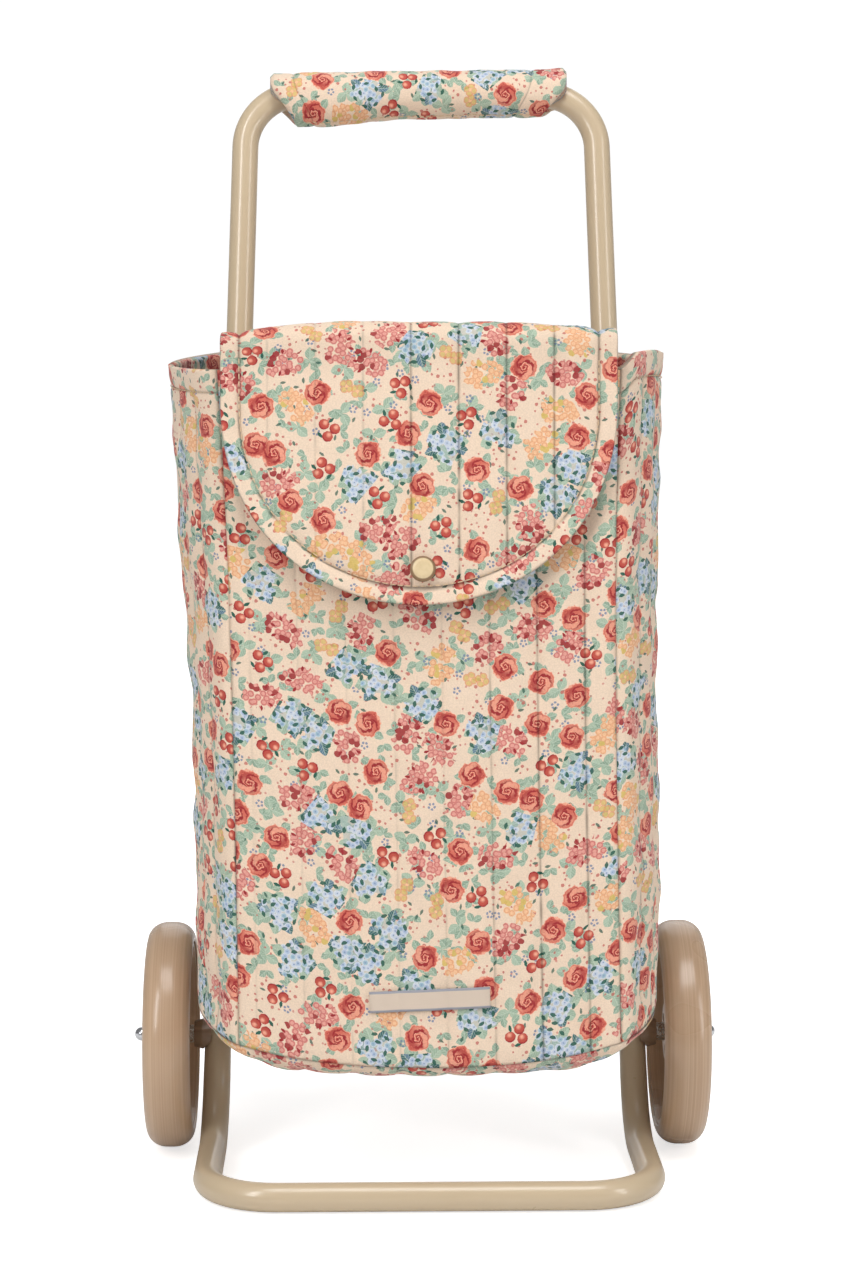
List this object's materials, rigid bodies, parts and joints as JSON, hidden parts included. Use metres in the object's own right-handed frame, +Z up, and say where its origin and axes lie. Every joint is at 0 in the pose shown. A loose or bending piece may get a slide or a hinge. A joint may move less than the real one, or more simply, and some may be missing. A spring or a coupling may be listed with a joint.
{
  "type": "shopping trolley on wheels",
  "caption": "Child's two-wheeled shopping trolley: bent tube frame with padded handle, quilted floral bag and stud-fastened lid.",
  "frame": {"origin": "on the floor, at the centre of the trolley's footprint box", "axes": "+Z up, +X along the axle to the right as seen from the bag's front, -Y towards the bag's front, the handle leans back to +Y"},
  "size_m": [0.301, 0.2488, 0.5597],
  "materials": {
    "tube_paint": "gloss",
    "wheel_plastic": "gloss",
    "boss_plastic": "satin",
    "bright_steel": "satin",
    "chrome_nut": "polished",
    "quilt": "matte",
    "tape": "matte",
    "woven_label": "matte",
    "stud_enamel": "satin"
  },
  "bodies": {
    "trolley": {"handle_tube": "tube_paint", "base_tube": "tube_paint", "grip_cover": "quilt", "axle_rod": "bright_steel", "axle_boss_left": "boss_plastic", "axle_boss_right": "boss_plastic", "axle_sleeve_left": "bright_steel", "axle_sleeve_right": "bright_steel", "washer_left": "bright_steel", "washer_right": "bright_steel", "cap_nut_left": "chrome_nut", "cap_nut_right": "chrome_nut", "bag_front": "quilt", "bag_back": "quilt", "bag_side_left": "quilt", "bag_side_right": "quilt", "bag_bottom": "quilt", "label": "woven_label", "snap_stud": "bright_steel", "snap_backing": "bright_steel", "strap_lower_left": "tape", "strap_lower_right": "tape", "strap_upper_left": "tape", "strap_upper_right": "tape", "strap_lower_left_stud": "stud_enamel", "strap_lower_right_stud": "stud_enamel", "strap_upper_left_stud": "stud_enamel", "strap_upper_right_stud": "stud_enamel"},
    "left_wheel": {"wheel_left": "wheel_plastic", "tyre_left": "wheel_plastic"},
    "right_wheel": {"wheel_right": "wheel_plastic", "tyre_right": "wheel_plastic"},
    "lid_top": {"flap_top": "quilt"},
    "lid_front": {"flap_front": "quilt", "snap_cap": "stud_enamel", "snap_socket": "bright_steel"}
  },
  "joints": [
    {"name": "left_wheel_spin", "type": "hinge", "parent": "trolley", "child": "left_wheel", "pos_m": [-0.1313, 0.00682, 0.0577], "axis": [1, 0, 0], "continuous": true},
    {"name": "right_wheel_spin", "type": "hinge", "parent": "trolley", "child": "right_wheel", "pos_m": [0.1313, 0.00682, 0.0577], "axis": [1, 0, 0], "continuous": true},
    {"name": "lid_hinge", "type": "hinge", "parent": "trolley", "child": "lid_top", "pos_m": [0, 0.06782, 0.411], "axis": [-1, 0, 0], "range_deg": [0, 92]},
    {"name": "lid_fold", "type": "hinge", "parent": "lid_top", "child": "lid_front", "pos_m": [0, -0.07658, 0.415], "axis": [-1, 0, 0], "range_deg": [0, 80]}
  ]
}
